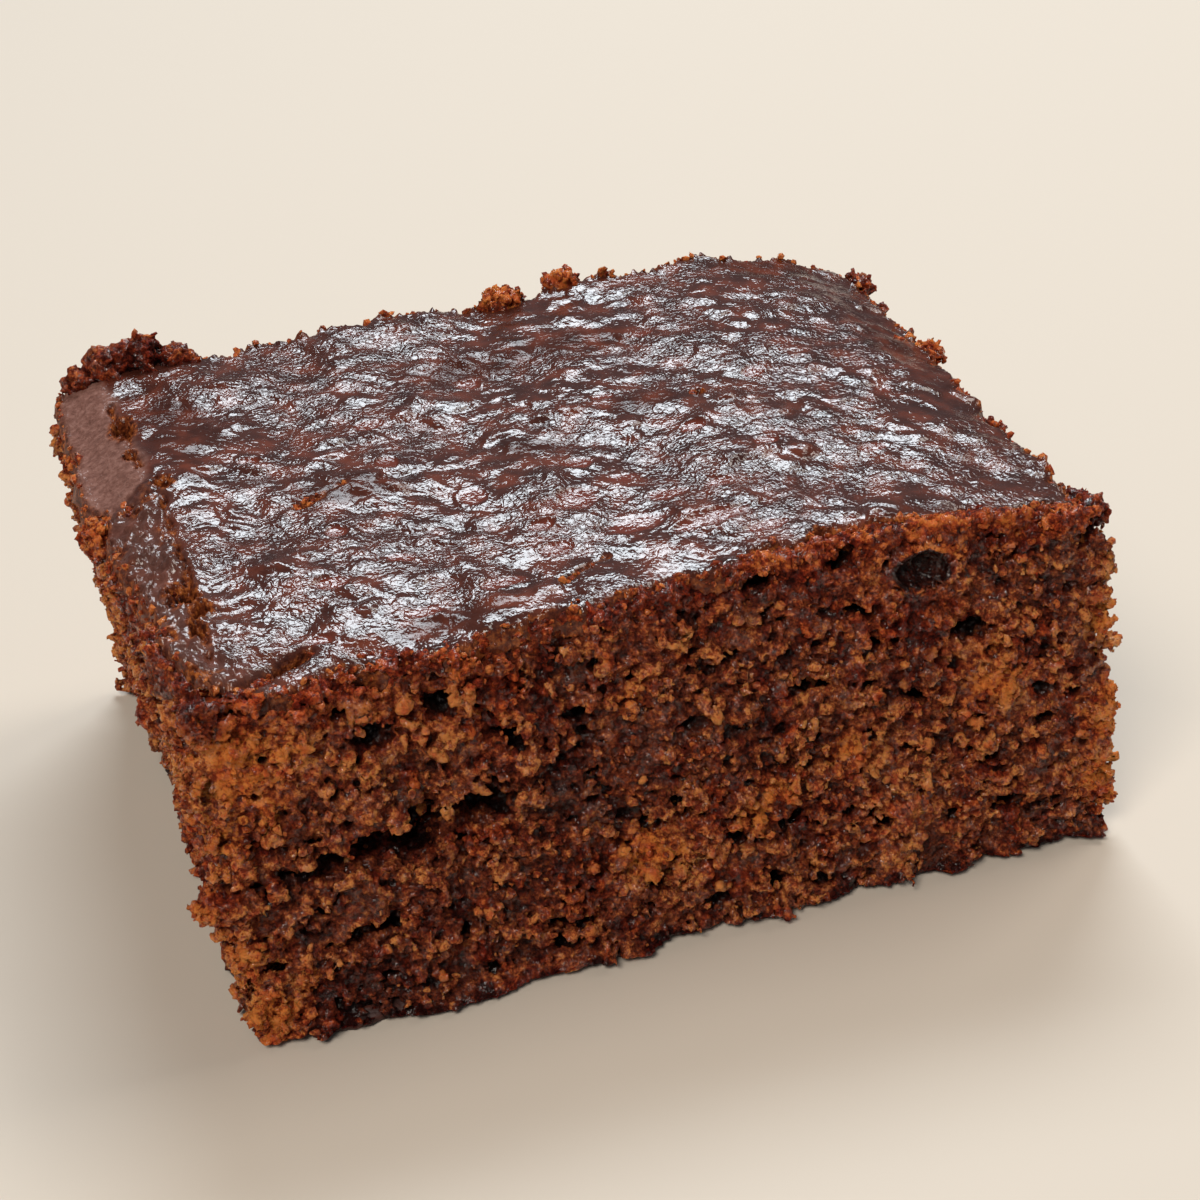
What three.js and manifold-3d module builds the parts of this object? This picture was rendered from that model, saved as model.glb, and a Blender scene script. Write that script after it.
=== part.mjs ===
// A square-cut piece of sticky toffee pudding: one dense, crumbly date sponge with a toffee-soaked top.
// Millimetres, +Z up. The long cut face looks along -Y, and the origin is under the middle of the piece.
// The sponge is a closed skin of rings, to which the crumbs that cling to its edges are joined, and from
// which the open pores, the long tunnel and the pits in the glaze are then cut.

import * as THREE from 'three';
import { mergeVertices } from 'three/addons/utils/BufferGeometryUtils.js';
import Module from 'manifold-3d';

const wasm = await Module();
wasm.setup();

// ---------------------------------------------------------------- driving dimensions

const LENGTH = 75; // along the long cut face
const DEPTH = 54; // from the front cut face to the back one
const HEIGHT = 31; // from the board to the corners of the top
const LEAN = 2.3; // how far the left end hangs out over its own foot at the front
const RIM = 1.2; // the rounding where the top meets the cut faces
const STRIP = 4.2; // the width of the unglazed strip along the left end
const BACK_RISE = 1.6; // how much higher the top is along the back than at its corners
const HUMP = 1.7; // the further rise of the back, right of the middle
const CREST = 1.3; // the raised stretch of the front edge, right of the middle
const SAG = 1.5; // the sunken stretch of the front edge, near the left corner
const DOME = 0.6; // the swell of the middle of the top over its front and back edges
const WAVE = 0.3; // the unevenness of the cut faces
const MIDDLE = new THREE.Vector2(-0.18, -0.34); // the middle of the finished piece, in the outlines' own frame

// ---------------------------------------------------------------- the sponge's own surface

const COLUMNS = [24, 16, 24, 16]; // steps along the front, right, back and left faces
const WALL_LEVELS = [0, 0.04, 0.1, 0.19, 0.3, 0.42, 0.54, 0.66, 0.78, 0.89, 0.96];
const TOP_RINGS = [0.985, 0.95, 0.88, 0.77, 0.63, 0.47, 0.3, 0.14];

// The corners of the foot and of the top, from the front left one round to the back left one.
const FOOT_CORNERS = [
  [-LENGTH / 2 + LEAN / 2 + 0.2, -DEPTH / 2 - 0.6],
  [LENGTH / 2 + 1, -DEPTH / 2],
  [LENGTH / 2 + 1.1, DEPTH / 2 - 0.2],
  [-LENGTH / 2 + LEAN + 0.4, DEPTH / 2],
];
const TOP_CORNERS = [
  [-LENGTH / 2 - LEAN / 2 + 0.4, -DEPTH / 2 + 0.4],
  [LENGTH / 2 - 1.5, -DEPTH / 2 + 0.7],
  [LENGTH / 2 + 0.6, DEPTH / 2 - 0.4],
  [-LENGTH / 2 - LEAN / 2 + 0.6, DEPTH / 2 + 0.3],
];

// How each cut face departs from flat, outwards: at the top, at the foot and halfway up, where along
// the face that is strongest, and how far the baked foot flares out.
const FACES = [
  { out: [0, -1], span: LENGTH, top: -1.3, foot: 0, waist: 0.2, peak: 0.68, flare: 2.0, flareAt: 0.22 },
  { out: [1, 0], span: DEPTH, top: -1.3, foot: 0, waist: -1.4, peak: 0.2, flare: 0.5, flareAt: 0.5 },
  { out: [0, 1], span: LENGTH, top: 1.2, foot: 0, waist: 0.3, peak: 0.28, flare: 0.9, flareAt: 0.6 },
  { out: [-1, 0], span: DEPTH, top: 1.4, foot: -0.9, waist: -0.6, peak: 0.42, flare: 0.4, flareAt: 0.8 },
];

const clamp01 = (x) => Math.min(1, Math.max(0, x));
const smooth = (x) => clamp01(x) ** 2 * (3 - 2 * clamp01(x));
const bump = (x, centre, width) => Math.exp(-(((x - centre) / width) ** 2));
const mix = (a, b, t) => a * (1 - t) + b * t;

// The level of the top: higher along the back than the front, low at its left and right ends, with
// a sunken and a raised stretch of front edge and a slow ripple.
function topLevel(x, y) {
  const backwards = smooth(y / DEPTH + 0.5);
  const ends = smooth((x + LENGTH / 2 + 1) / STRIP) * smooth((LENGTH / 2 + 1 - x) / 9);
  const back = ends * (BACK_RISE + HUMP * bump(x, 20, 14));
  const front = CREST * bump(x, 14, 17) - SAG * bump(x, -29, 8) * bump(y, -DEPTH / 2, 7);
  const swell = DOME * ends * Math.cos((Math.PI * y) / (DEPTH + 4));
  const ripple = 0.22 * Math.sin(0.31 * x + 0.12 * y + 1.1) * Math.sin(0.27 * y - 0.08 * x + 0.4);
  return HEIGHT + mix(front, back, backwards) + swell + ripple;
}

// A point on the cut faces: side 0 to 3 from the front round to the left, u along the side, and level
// from the foot (0) to the top (1). It lies between the two outlines, pushed outwards by the face's
// swell, its waves and the flare of its foot, all of which die away at the corners.
function wallPoint(side, u, level) {
  const { out, span, top, foot, waist, peak, flare, flareAt } = FACES[side];
  const next = (side + 1) % 4;
  const run = u * span + 23 * side;
  const inside = smooth(5 * Math.min(u, 1 - u));
  const bow = top * level ** 2 + foot * (1 - level) ** 2 + waist * 4 * level * (1 - level);
  const swell = bow * (0.3 + 0.7 * bump(u, peak, 0.35) * inside);
  const waves = WAVE * (Math.sin(0.46 * run + 5.2 * level) + 0.8 * Math.sin(1.07 * run - 7.3 * level));
  const lip = flare * smooth(1 - level / 0.08) * (0.2 + 0.8 * bump(u, flareAt, 0.2));
  const push = swell + waves * inside + lip;
  return [0, 1].map((axis) => {
    const low = mix(FOOT_CORNERS[side][axis], FOOT_CORNERS[next][axis], u);
    const high = mix(TOP_CORNERS[side][axis], TOP_CORNERS[next][axis], u);
    return mix(low, high, level) + out[axis] * push;
  });
}

// One ring of columns round the piece, as [side, u] pairs.
const RING = COLUMNS.flatMap((steps, side) => Array.from({ length: steps }, (_, i) => [side, i / steps]));

function wallRing(level) {
  return RING.map(([side, u]) => {
    const edge = topLevel(...wallPoint(side, u, 1)) - RIM;
    return [...wallPoint(side, u, level), (level / WALL_LEVELS.at(-1)) * edge];
  });
}

function topRing(reach) {
  return RING.map(([side, u]) => {
    const [x, y] = wallPoint(side, u, 1).map((c) => c * reach);
    const rounding = RIM * Math.max(0, (reach - 0.95) / 0.05) ** 2;
    return [x, y, topLevel(x, y) - rounding];
  });
}

function solidOf(vertProperties, triVerts) {
  return new wasm.Manifold(new wasm.Mesh({ numProp: 3, vertProperties, triVerts }));
}

// The closed skin: a pole under the foot, the wall rings, the top rings and a pole in the middle.
function spongeSkin() {
  const rings = [...WALL_LEVELS.map(wallRing), ...TOP_RINGS.map(topRing)];
  const size = RING.length;
  const under = rings.length * size;
  const above = under + 1;
  const last = under - size;
  const points = [...rings.flat(), [0, 0, 0], [0, 0, topLevel(0, 0)]];
  const faces = RING.flatMap((_, column) => {
    const next = (column + 1) % size;
    const bands = rings.slice(1).flatMap((_ring, i) => {
      const [low, high] = [i * size, (i + 1) * size];
      return [low + column, low + next, high + next, low + column, high + next, high + column];
    });
    return [under, next, column, ...bands, last + column, last + next, above];
  });
  return solidOf(new Float32Array(points.flat()), new Uint32Array(faces));
}

// ---------------------------------------------------------------- pores, pits and crumbs

// A fixed sequence of numbers from 0 to 1, so that the piece is the same each time.
function sequence(seed) {
  let state = seed;
  return () => {
    state = (state * 1664525 + 1013904223) % 4294967296;
    return state / 4294967296;
  };
}

// An uneven lump: an icosahedron ball, stretched to its three radii, wrinkled by two waves and
// turned about the Y axis.
function lump([x, y, z], [rx, ry, rz], turn = 0) {
  const ball = new THREE.IcosahedronGeometry(1, 1);
  ball.deleteAttribute('normal');
  ball.deleteAttribute('uv');
  const shell = mergeVertices(ball, 1e-4);
  const points = shell.getAttribute('position');
  const point = new THREE.Vector3();
  for (let i = 0; i < points.count; i += 1) {
    point.fromBufferAttribute(points, i);
    const wrinkle = 1 + 0.14 * Math.sin(5 * point.x + 3 * point.z + x) + 0.12 * Math.sin(6 * point.y - 4 * point.x + z);
    points.setXYZ(i, point.x * rx * wrinkle, point.y * ry * wrinkle, point.z * rz * wrinkle);
  }
  shell.applyMatrix4(new THREE.Matrix4().makeRotationY(-turn).setPosition(x, y, z));
  return solidOf(points.array, new Uint32Array(shell.getIndex().array));
}

// The point of a cut face at a place along it, from its middle towards +X or +Y, and a height.
function onFace(side, along, height, inward = 0) {
  const { out, span } = FACES[side];
  const u = clamp01(along / span + 0.5);
  const [x, y] = wallPoint(side, side < 2 ? u : 1 - u, height / HEIGHT);
  return [x - out[0] * inward, y - out[1] * inward, height];
}

// Radii given as length along a face, height and depth, in X, Y and Z.
const laidOn = (side, [along, up, deep]) => (side % 2 ? [deep, along, up] : [along, deep, up]);

// The tunnel is a chain of overlapping bubbles that rises to the right, and the slit is below it.
const TUNNEL = { left: -31, right: -15, low: 13.8, high: 16.4, links: 6, radii: [2.3, 1.8, 3.4] };
const SLIT = { left: -29.3, right: -24.5, low: 7, high: 8.8, links: 3, radii: [1.6, 0.8, 2.2] };

function bubbleChain({ left, right, low, high, links, radii: [long, tall, deep] }) {
  return Array.from({ length: links }, (_, i) => {
    const part = i / (links - 1);
    const fat = 0.8 + 0.3 * Math.sin(2.6 * part + 5.3 * part ** 2);
    const centre = onFace(0, mix(left, right, part), mix(low, high, smooth(part)), 0.5);
    return lump(centre, laidOn(0, [long, tall * fat, deep]), (high - low) / (right - left));
  });
}

// The large pores that the knife has opened in the front face, and the hollow where a date was:
// place along the face, height, three radii and the turn.
const FRONT_PORES = [
  [-18.7, 26, [1.7, 1.5, 2.2], 0.2],
  [-24.3, 24.6, [1.9, 1.0, 1.3], 0.1],
  [-24, 28.6, [2.4, 0.7, 1.8], 0.1],
  [-13.6, 21.8, [0.9, 1.4, 1.8], 0.4],
  [-11.7, 2.6, [1.5, 1.0, 1.4], 0.3],
  [-8.4, 20.6, [1.4, 0.9, 1.7], 0.1],
  [-3.7, 11.4, [1.2, 0.8, 2.0], 0.5],
  [10.7, 20.9, [1.8, 1.0, 1.6], 0.2],
  [10.8, 2.3, [1.2, 0.9, 1.4], 0.1],
  [15.3, 15.1, [0.9, 0.8, 1.5], 0],
  [20.6, 28.7, [2.2, 1.4, 1.6], 0.15],
  [25.2, 22.5, [1.7, 1.2, 1.6], 0.4],
  [27.6, 5.3, [1.7, 0.8, 1.6], 0.15],
];

// Smaller pores are strewn over the four faces, this many on each, clear of the faces' edges.
const STREWN = [7, 5, 8, 5];
const STREWN_EDGE = 4;

function strewnPores() {
  const next = sequence(19);
  return STREWN.flatMap((count, side) => Array.from({ length: count }, (_, i) => {
    const reach = FACES[side].span / 2 - STREWN_EDGE;
    const along = reach * (2 * ((i + next()) / count) - 1);
    const height = mix(STREWN_EDGE, HEIGHT - STREWN_EDGE, next());
    const size = 0.8 + 0.9 * next() ** 2;
    return lump(onFace(side, along, height, 0.1), laidOn(side, [size * 1.5, size * 0.8, size * 1.3]));
  }));
}

// The pits in the row of cracks where the glaze stops: their places on the top and their radii.
const PIT_DEPTH = 1.1;
const PITS = [
  [-34.4, 18.8, 1.0, 1.5],
  [-33.2, 4.2, 0.8, 1.0],
  [-35.2, -12.2, 1.2, 1.7],
  [-31.6, -24.2, 2.2, 0.8],
];

// The crumbs and torn bits of crust that stand out: side, place along it, height and three radii.
const CRUMBS = [
  [0, -36.8, 29.2, [1.3, 1.6, 1.0]],
  [0, 12.5, 31.6, [2.0, 1.0, 1.0]],
  [0, 33.5, 30.6, [1.8, 1.2, 1.1]],
  [1, -25, 8.2, [1.5, 1.4, 1.2]],
  [1, -23.5, 30.2, [2.2, 1.5, 1.2]],
  [1, -18, 20.5, [1.2, 1.0, 1.1]],
  [1, 6, 31, [1.4, 1.1, 1.0]],
  [1, 23, 30.6, [2.0, 1.3, 1.0]],
  [2, -33, 32.8, [2.4, 2.0, 1.6]],
  [2, -28.6, 33, [3.0, 1.8, 1.5]],
  [2, 3, 32.4, [2.2, 1.2, 1.4]],
  [2, 9, 32.8, [1.6, 1.2, 1.2]],
  [3, -25.2, 13.6, [1.7, 1.6, 2.9]],
  [3, -9, 20, [2.0, 1.6, 1.6]],
  [3, 2.6, 29.6, [2.0, 1.4, 1.3]],
  [3, 13, 28.6, [1.4, 1.0, 1.0]],
];

function spongeGeometry() {
  const crumbs = CRUMBS.map(([side, along, height, radii]) => (
    lump(onFace(side, along, height, 0.6), laidOn(side, radii))
  ));
  const holes = [
    ...bubbleChain(TUNNEL),
    ...bubbleChain(SLIT),
    ...FRONT_PORES.map(([along, height, radii, turn]) => lump(onFace(0, along, height), laidOn(0, radii), turn)),
    ...strewnPores(),
    ...PITS.map(([x, y, rx, ry]) => lump([x, y, topLevel(x, y)], [rx, ry, PIT_DEPTH])),
  ];
  const crumbed = crumbs.reduce((body, crumb) => body.add(crumb), spongeSkin());
  const mesh = holes.reduce((body, hole) => body.subtract(hole), crumbed).getMesh();
  const geometry = new THREE.BufferGeometry();
  geometry.setAttribute('position', new THREE.BufferAttribute(mesh.vertProperties, 3));
  geometry.setIndex(new THREE.BufferAttribute(mesh.triVerts, 1));
  geometry.computeVertexNormals();
  return geometry;
}

// ---------------------------------------------------------------- the scene graph

const sponge = new THREE.Mesh(
  spongeGeometry(),
  new THREE.MeshStandardMaterial({ color: 0x6b3a20, roughness: 0.75, metalness: 0 }),
);
sponge.name = 'sponge';
sponge.position.set(-MIDDLE.x, -MIDDLE.y, 0);

const pudding = new THREE.Group();
pudding.add(sponge);

export default pudding;
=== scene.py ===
"""A square-cut piece of sticky toffee pudding: a crumbly date sponge with a toffee-soaked top.
Sizes are in millimetres until a mesh is made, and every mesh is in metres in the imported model's frame."""

import bpy
import numpy as np
from mathutils import Matrix


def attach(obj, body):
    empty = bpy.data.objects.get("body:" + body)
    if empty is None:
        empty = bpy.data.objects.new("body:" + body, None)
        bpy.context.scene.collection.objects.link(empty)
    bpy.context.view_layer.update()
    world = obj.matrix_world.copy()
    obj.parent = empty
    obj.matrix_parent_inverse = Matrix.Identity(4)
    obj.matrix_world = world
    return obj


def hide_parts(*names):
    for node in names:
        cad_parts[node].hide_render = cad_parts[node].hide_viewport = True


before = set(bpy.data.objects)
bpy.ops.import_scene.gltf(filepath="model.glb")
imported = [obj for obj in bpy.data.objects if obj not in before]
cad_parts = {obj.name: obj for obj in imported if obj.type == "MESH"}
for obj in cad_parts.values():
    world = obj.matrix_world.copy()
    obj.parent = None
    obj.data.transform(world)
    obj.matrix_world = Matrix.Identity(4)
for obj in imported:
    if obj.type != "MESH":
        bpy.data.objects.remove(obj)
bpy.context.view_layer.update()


# ---------------------------------------------------------------- the sponge: four cut faces of open crumb
# One dense date sponge, cut square from a deep tray bake with a knife that dragged: the faces are torn
# crumb, full of air bubbles that the knife opened, and the left end leans out over its own foot. It is a
# field over a fine grid, whose surface is shared out among eight pieces, each closed to a point inside.

# The slice's size at its corners, and how far its left end leans out. Then how far below the top the
# outline's upper level lies, how far in from the left end the top is low, the heights of the back's rise and
# hump, of the front's crest and sag, of the dome, and of the faces' waves. MIDDLE becomes the origin.
MM = 0.001
LENGTH = 75.0
DEPTH = 54.0
HEIGHT = 31.0
LEAN = 2.3
RIM = 1.2
STRIP = 4.2
BACK_RISE = 1.6
HUMP = 1.7
CREST = 1.3
SAG = 1.5
DOME = 0.6
WAVE = 0.3
MIDDLE = np.array([-0.18, -0.34, 0.0])
# The middle of the worn front right corner, and the matt strip: left of its first number, behind its second.
WORN_CORNER = (37, -27)
MATT_STRIP = (-31, 5)

# The corners of the foot and of the top, from the front left one round to the back left one.
FOOT_CORNERS = np.array([
    [-LENGTH / 2 + LEAN / 2 + 0.2, -DEPTH / 2 - 0.6],
    [LENGTH / 2 + 1.0, -DEPTH / 2],
    [LENGTH / 2 + 1.1, DEPTH / 2 - 0.2],
    [-LENGTH / 2 + LEAN + 0.4, DEPTH / 2],
])
TOP_CORNERS = np.array([
    [-LENGTH / 2 - LEAN / 2 + 0.4, -DEPTH / 2 + 0.4],
    [LENGTH / 2 - 1.3, -DEPTH / 2 + 0.5],
    [LENGTH / 2 + 0.6, DEPTH / 2 - 0.4],
    [-LENGTH / 2 - LEAN / 2 + 0.6, DEPTH / 2 + 0.3],
])
# For each face: its name, its outward direction and its length; how far it swells at the top, at the foot
# and half way up, and where along it; and how far its foot flares, and where.
FACE_NAMES = ("crumb_front", "crumb_right", "crumb_back", "crumb_left")
FACE_OUT = np.array([[0, -1], [1, 0], [0, 1], [-1, 0]])
FACE_SPAN = np.array([LENGTH, DEPTH, LENGTH, DEPTH])
FACE_TOP = np.array([-1.3, -1.3, 1.2, 1.4])
FACE_FOOT = np.array([0, 0, 0, -0.9])
FACE_WAIST = np.array([0.2, -0.9, 0.3, -0.6])
FACE_PEAK = np.array([0.68, 0.2, 0.28, 0.42])
FACE_FLARE = np.array([2.0, 0.5, 0.9, 0.4])
FACE_FLARE_AT = np.array([0.22, 0.5, 0.6, 0.8])

# The room left for the skin and the grid's spacing. The crumb's surface is kept within FOLD of the faces, or
# more than UNDER_TOP below the top, from the height FOOT up.
SKIN = 0.6
SPACING = 0.22
FOLD = 3.2
UNDER_TOP = 4
FOOT = 0.45
GRID = (
    np.arange(-41.5, 41.6, SPACING, dtype=np.float32),
    np.arange(-31.5, 31.6, SPACING, dtype=np.float32),
    np.arange(-1.0, 36.1, SPACING, dtype=np.float32),
)
PLACES = np.meshgrid(*GRID, indexing="ij", sparse=True)


def smooth(x):
    """Rises from 0 to 1 as x does, level at both ends: 3x squared less 2x cubed."""
    x = np.clip(x, 0, 1)
    return x * x * (3 - 2 * x)


def bump(x, centre, width):
    """A bell: e to the minus square of the distance from its centre in widths."""
    return np.exp(-(((x - centre) / width) ** 2))


def mix(a, b, t):
    """From a to b as t goes from 0 to 1."""
    return a + (b - a) * t


def top_level(x, y):
    """The height of the top: higher along the back than the front, low at its two ends, with a sunken
    and a raised stretch of front edge, a low swell in the middle and a slow ripple."""
    ends = smooth((x + LENGTH / 2 + 1) / STRIP) * smooth((LENGTH / 2 + 1 - x) / 9)
    back = ends * (BACK_RISE + HUMP * bump(x, 20, 14))
    front = CREST * bump(x, 14, 17) - SAG * bump(x, -29, 8) * bump(y, -DEPTH / 2, 7)
    swell = DOME * ends * np.cos(np.pi * y / (DEPTH + 4))
    ripple = 0.22 * np.sin(0.31 * x + 0.12 * y + 1.1) * np.sin(0.27 * y - 0.08 * x + 0.4)
    return HEIGHT + mix(front, back, smooth(y / DEPTH + 0.5)) + swell + ripple


def outline(side, u, level):
    """The plan of the cut faces at a level from the foot, 0, to the top, 1. A point lies between the foot's
    and the top's corners, pushed outwards by its face's swell, two sine waves and the foot's flare."""
    following = (side + 1) % 4
    run = u * FACE_SPAN[side] + 23 * side
    inside = smooth(5 * np.minimum(u, 1 - u))
    bow = FACE_TOP[side] * level**2 + FACE_FOOT[side] * (1 - level) ** 2
    bow = bow + FACE_WAIST[side] * 4 * level * (1 - level)
    swell = bow * (0.3 + 0.7 * bump(u, FACE_PEAK[side], 0.35) * inside)
    waves = WAVE * (np.sin(0.46 * run + 5.2 * level) + 0.8 * np.sin(1.07 * run - 7.3 * level))
    lip = FACE_FLARE[side] * smooth(1 - level / 0.08) * (0.2 + 0.8 * bump(u, FACE_FLARE_AT[side], 0.2))
    push = swell + waves * inside + lip
    level, u, push = (np.asarray(v)[..., None] for v in (level, u, push))
    low = mix(FOOT_CORNERS[side], FOOT_CORNERS[following], u)
    high = mix(TOP_CORNERS[side], TOP_CORNERS[following], u)
    return mix(low, high, level) + FACE_OUT[side] * push


def soft_least(a, b, reach):
    """The lesser of two fields, with the crease where they meet rounded off: a quarter of the reach lower
    right at the crease."""
    near = np.maximum(reach - np.abs(a - b), 0) / reach
    return np.minimum(a, b) - near * near * reach / 4


def wall_place(side):
    """Where one cut face stands, for each place along it and each height of the grid: its outline's columns
    are followed up to that height, and read off at the grid's own places."""
    u = np.linspace(0, 1, 400)
    rim = outline(side, u, 1.0)
    level = GRID[2][:, None] / (top_level(rim[:, 0], rim[:, 1]) - RIM)
    plan = outline(side, u[None], np.clip(level, 0, 1))
    way = 1 if side < 2 else -1
    along, out = plan[:, ::way, side % 2], plan[:, ::way, 1 - side % 2]
    lines = [np.interp(GRID[side % 2], *line) for line in zip(along, out)]
    return np.stack(lines, axis=1).astype(np.float32)


def wall_depths():
    """How deep each point of the grid is behind each of the four cut faces."""
    x, y, _ = PLACES
    return (
        y - wall_place(0)[:, None, :], wall_place(1)[None] - x,
        wall_place(2)[:, None, :] - y, x - wall_place(3)[None],
    )


def grid_noise(cell, salt):
    """Smooth noise from -1 to 1 over the whole grid: random numbers on a coarse grid with that cell size,
    blended along each axis in turn."""
    shape = [int(np.ptp(line) / size) + 3 for line, size in zip(GRID, np.broadcast_to(cell, 3))]
    values = np.random.default_rng(salt).uniform(-1, 1, shape).astype(np.float32)
    for axis, (line, size) in enumerate(zip(GRID, np.broadcast_to(cell, 3))):
        place = (line - line[0]) / size
        low = np.floor(place).astype(int)
        part = smooth(place - low).astype(np.float32).reshape([-1 if n == axis else 1 for n in range(3)])
        first, second = np.take(values, low, axis=axis), np.take(values, low + 1, axis=axis)
        values = first + (second - first) * part
    return values


def block_round(centre, radii):
    """The part of the grid round an ellipsoid, as slices, and how far each of its points is outside the
    ellipsoid: the length of its offset in radii, less one, times the least radius."""
    slices = []
    offsets = []
    for axis in range(3):
        low = int((centre[axis] - radii[axis] - 0.6 - GRID[axis][0]) / SPACING)
        high = int((centre[axis] + radii[axis] + 0.6 - GRID[axis][0]) / SPACING) + 2
        span = slice(max(low, 0), max(high, 0))
        slices.append(span)
        offsets.append((GRID[axis][span] - centre[axis]) / radii[axis])
    x, y, z = offsets
    length = np.sqrt(x[:, None, None] ** 2 + y[None, :, None] ** 2 + z[None, None, :] ** 2)
    return tuple(slices), (length - 1) * min(radii)


def wall_point(side, u, height, depth):
    """A point of a cut face, at a place along it from 0 to 1, a height, and a depth behind the face."""
    rim = outline(side, u, 1.0)
    level = height / (top_level(rim[..., 0], rim[..., 1]) - RIM)
    plan = outline(side, u, level) - FACE_OUT[side] * np.asarray(depth)[..., None]
    return np.concatenate([plan, np.asarray(height)[..., None]], axis=-1)


def wall_radii(side, long, deep, tall):
    """An ellipsoid's three radii, from how long it is along a cut face, how deep and how tall."""
    return (long, deep, tall) if side % 2 == 0 else (deep, long, tall)


# The tunnel, the slit under it and the large pores that the knife opened in the front face: place along
# the face, height, half length, half height, depth.
TUNNEL = [
    (-31.2, 14.0, 1.8, 0.9, 2.4), (-28.4, 14.6, 2.2, 1.2, 3.6), (-25.4, 14.9, 2.6, 1.8, 5.2),
    (-22.4, 15.0, 2.4, 2.3, 5.6), (-19.8, 15.7, 2.4, 1.7, 4.4), (-17.0, 16.3, 2.8, 2.0, 4.4),
    (-21.8, 17.4, 1.4, 1.0, 2.8),
]
FRONT_PORES = [
    (-28.6, 7.2, 1.8, 0.5, 2.2), (-26.6, 7.9, 1.9, 0.7, 2.6), (-25.0, 8.7, 1.2, 0.5, 2.0),
    (-18.7, 26.0, 1.6, 1.4, 3.2), (-24.3, 24.6, 2.0, 1.2, 1.6), (-24.0, 29.2, 2.6, 0.6, 2.6),
    (-13.6, 21.8, 0.8, 1.3, 2.6), (-11.7, 2.6, 1.6, 0.9, 2.2), (-8.4, 20.6, 1.3, 0.8, 2.4),
    (-3.7, 11.4, 1.0, 0.8, 2.6), (-2.6, 12.2, 0.8, 0.6, 1.6), (10.7, 20.9, 1.8, 1.0, 2.8),
    (10.8, 2.3, 1.2, 0.8, 2.2), (15.3, 15.1, 0.8, 0.7, 2.4), (25.2, 22.5, 1.7, 1.1, 2.8),
    (27.6, 5.3, 1.7, 0.7, 2.6), (-15.6, 18.6, 1.2, 0.7, 2.0), (4.5, 24.6, 1.6, 0.6, 2.2),
]
# Where a date stood in the front face and dropped out: a clean-edged oval hollow with a dark pebbly lining,
# given like the pores.
DATE_HOLLOW = (20.8, 28.9, 2.1, 1.45, 1.7)
# Sizes of the bubbles that are spread by chance: least and largest half length, and how many on each
# square millimetre of face.
BUBBLE_SIZES = [(0.9, 1.9, 0.030), (0.5, 1.0, 0.10), (0.28, 0.5, 0.12)]
# Lumps of crumb that hang on round the edges: face, place along it from its middle, height, and half
# length, half height, depth.
LUMPS = [
    (0, -36.8, 29.2, 1.3, 1.6, 1.0), (0, 12.5, 31.6, 2.0, 1.0, 1.0), (0, 33.5, 30.6, 1.8, 1.2, 1.1),
    (0, 35.8, 8.6, 0.9, 0.8, 0.8), (0, 36.0, 12.6, 0.8, 0.7, 0.8), (0, 35.6, 23.6, 0.8, 0.7, 0.8),
    (1, -25, 8.2, 1.5, 1.4, 1.2), (1, -23.5, 30.2, 2.2, 1.5, 1.2), (1, -18, 20.5, 1.2, 1.0, 1.1),
    (1, 6, 31, 1.4, 1.1, 1.0), (1, 23, 30.6, 2.0, 1.3, 1.0), (2, -35.0, 32.2, 1.6, 1.2, 1.5),
    (2, -32.6, 33.4, 2.0, 1.9, 1.8), (2, -29.6, 33.7, 1.8, 1.8, 1.8), (2, -26.8, 33.1, 1.8, 1.2, 1.6),
    (2, -31.0, 34.4, 1.0, 1.0, 1.2), (2, 3, 33.4, 2.2, 1.4, 1.4), (2, 9, 33.9, 1.6, 1.3, 1.2),
    (3, -26.2, 13.0, 1.8, 1.5, 2.8), (3, -25.8, 10.9, 1.4, 1.0, 1.5), (3, -9, 20, 2.0, 1.6, 1.6),
    (1, -26.3, 21.0, 0.8, 0.6, 1.0), (1, -26.3, 19.0, 0.9, 0.5, 1.3), (1, -26.2, 14.4, 1.0, 0.8, 0.9),
    (1, -26.0, 10.6, 0.9, 0.7, 0.8), (1, -26.3, 6.0, 1.0, 0.8, 0.8), (1, -25.8, 24.6, 0.9, 0.7, 0.7),
    (3, 2.6, 29.6, 2.0, 1.4, 1.3), (3, 13, 28.6, 1.4, 1.0, 1.0),
]
# Small grains of torn crumb on each square millimetre of face.
GRAINS_PER_AREA = 0.4
# Places where the crumb is bright orange, not browned by the toffee: x, y, z and how far it reaches.
BRIGHT = [
    (-37, -26.5, 25.5, 3.6), (-36, -26, 20, 6), (-36, -27, 8, 5), (-38.6, -12, 29, 3), (-39.2, 3, 31, 3),
    (-3.6, -27, 9.4, 3), (6.7, -27.2, 11, 3.6), (12.8, -27, 14.6, 2.6), (26.5, -27, 19.2, 2.4),
    (-4.5, -27, 22.8, 3), (8, -25, 33, 3), (14, -25, 33.5, 3.5), (22, -25, 32.5, 3.6), (28, -25.5, 32, 3),
    (32, -24.8, 31.2, 1.9), (36.5, -10, 31, 2.5), (37, 7, 31.5, 3), (3, 27.5, 33.5, 4), (9, 27.5, 34, 3.4),
    (-31, 27.5, 33, 2), (37.5, -27, 13, 3), (37.5, -27, 22, 3.4), (37.5, -27, 5, 3), (-38.8, -26, 13, 3),
    (-34, -27, 4.5, 4),
]
# The two front corners of the top, where the toffee ran over and soaked in: x, y, z and how far it reaches.
SOAKED = [(36, -25.5, 30.2, 2.4), (-37, -26.6, 29.6, 1.7)]


def carve(solid, ragged, centre, radii, raggedness=0.4):
    """Takes a ragged ellipsoid bubble out of the solid."""
    block, outside = block_round(centre, radii)
    np.minimum(solid[block], outside + raggedness * ragged[block], out=solid[block])


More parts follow.
